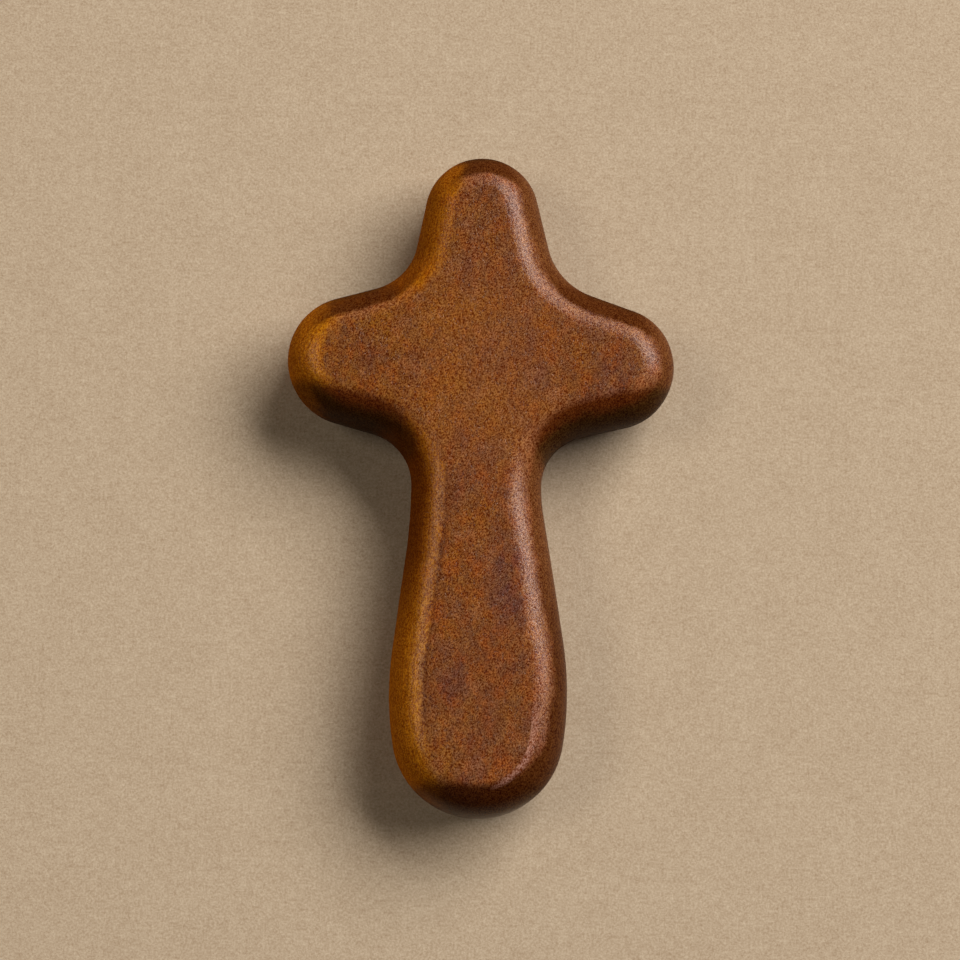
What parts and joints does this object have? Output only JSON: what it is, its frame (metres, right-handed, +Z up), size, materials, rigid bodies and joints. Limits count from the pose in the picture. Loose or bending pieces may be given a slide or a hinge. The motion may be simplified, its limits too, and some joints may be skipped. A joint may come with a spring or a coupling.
{
  "type": "wooden hand-held cross",
  "caption": "Palm-sized wooden cross to hold in the hand, cut from one board with a rounded outline, round-ended arms, a wider foot and rounded edges all round.",
  "frame": {"origin": "on the flat underside, below the middle of the outline's box", "axes": "+X to the right across the arms, +Y along the stem towards the head, +Z up out of the flat upper face"},
  "size_m": [0.0672, 0.115, 0.016],
  "materials": {
    "varnished_wood": "satin varnish over mid-brown wood with fine short pores and a soft mottle, more golden at the rounded edges"
  },
  "bodies": {
    "root": {"cross_body": "varnished_wood"}
  },
  "joints": []
}
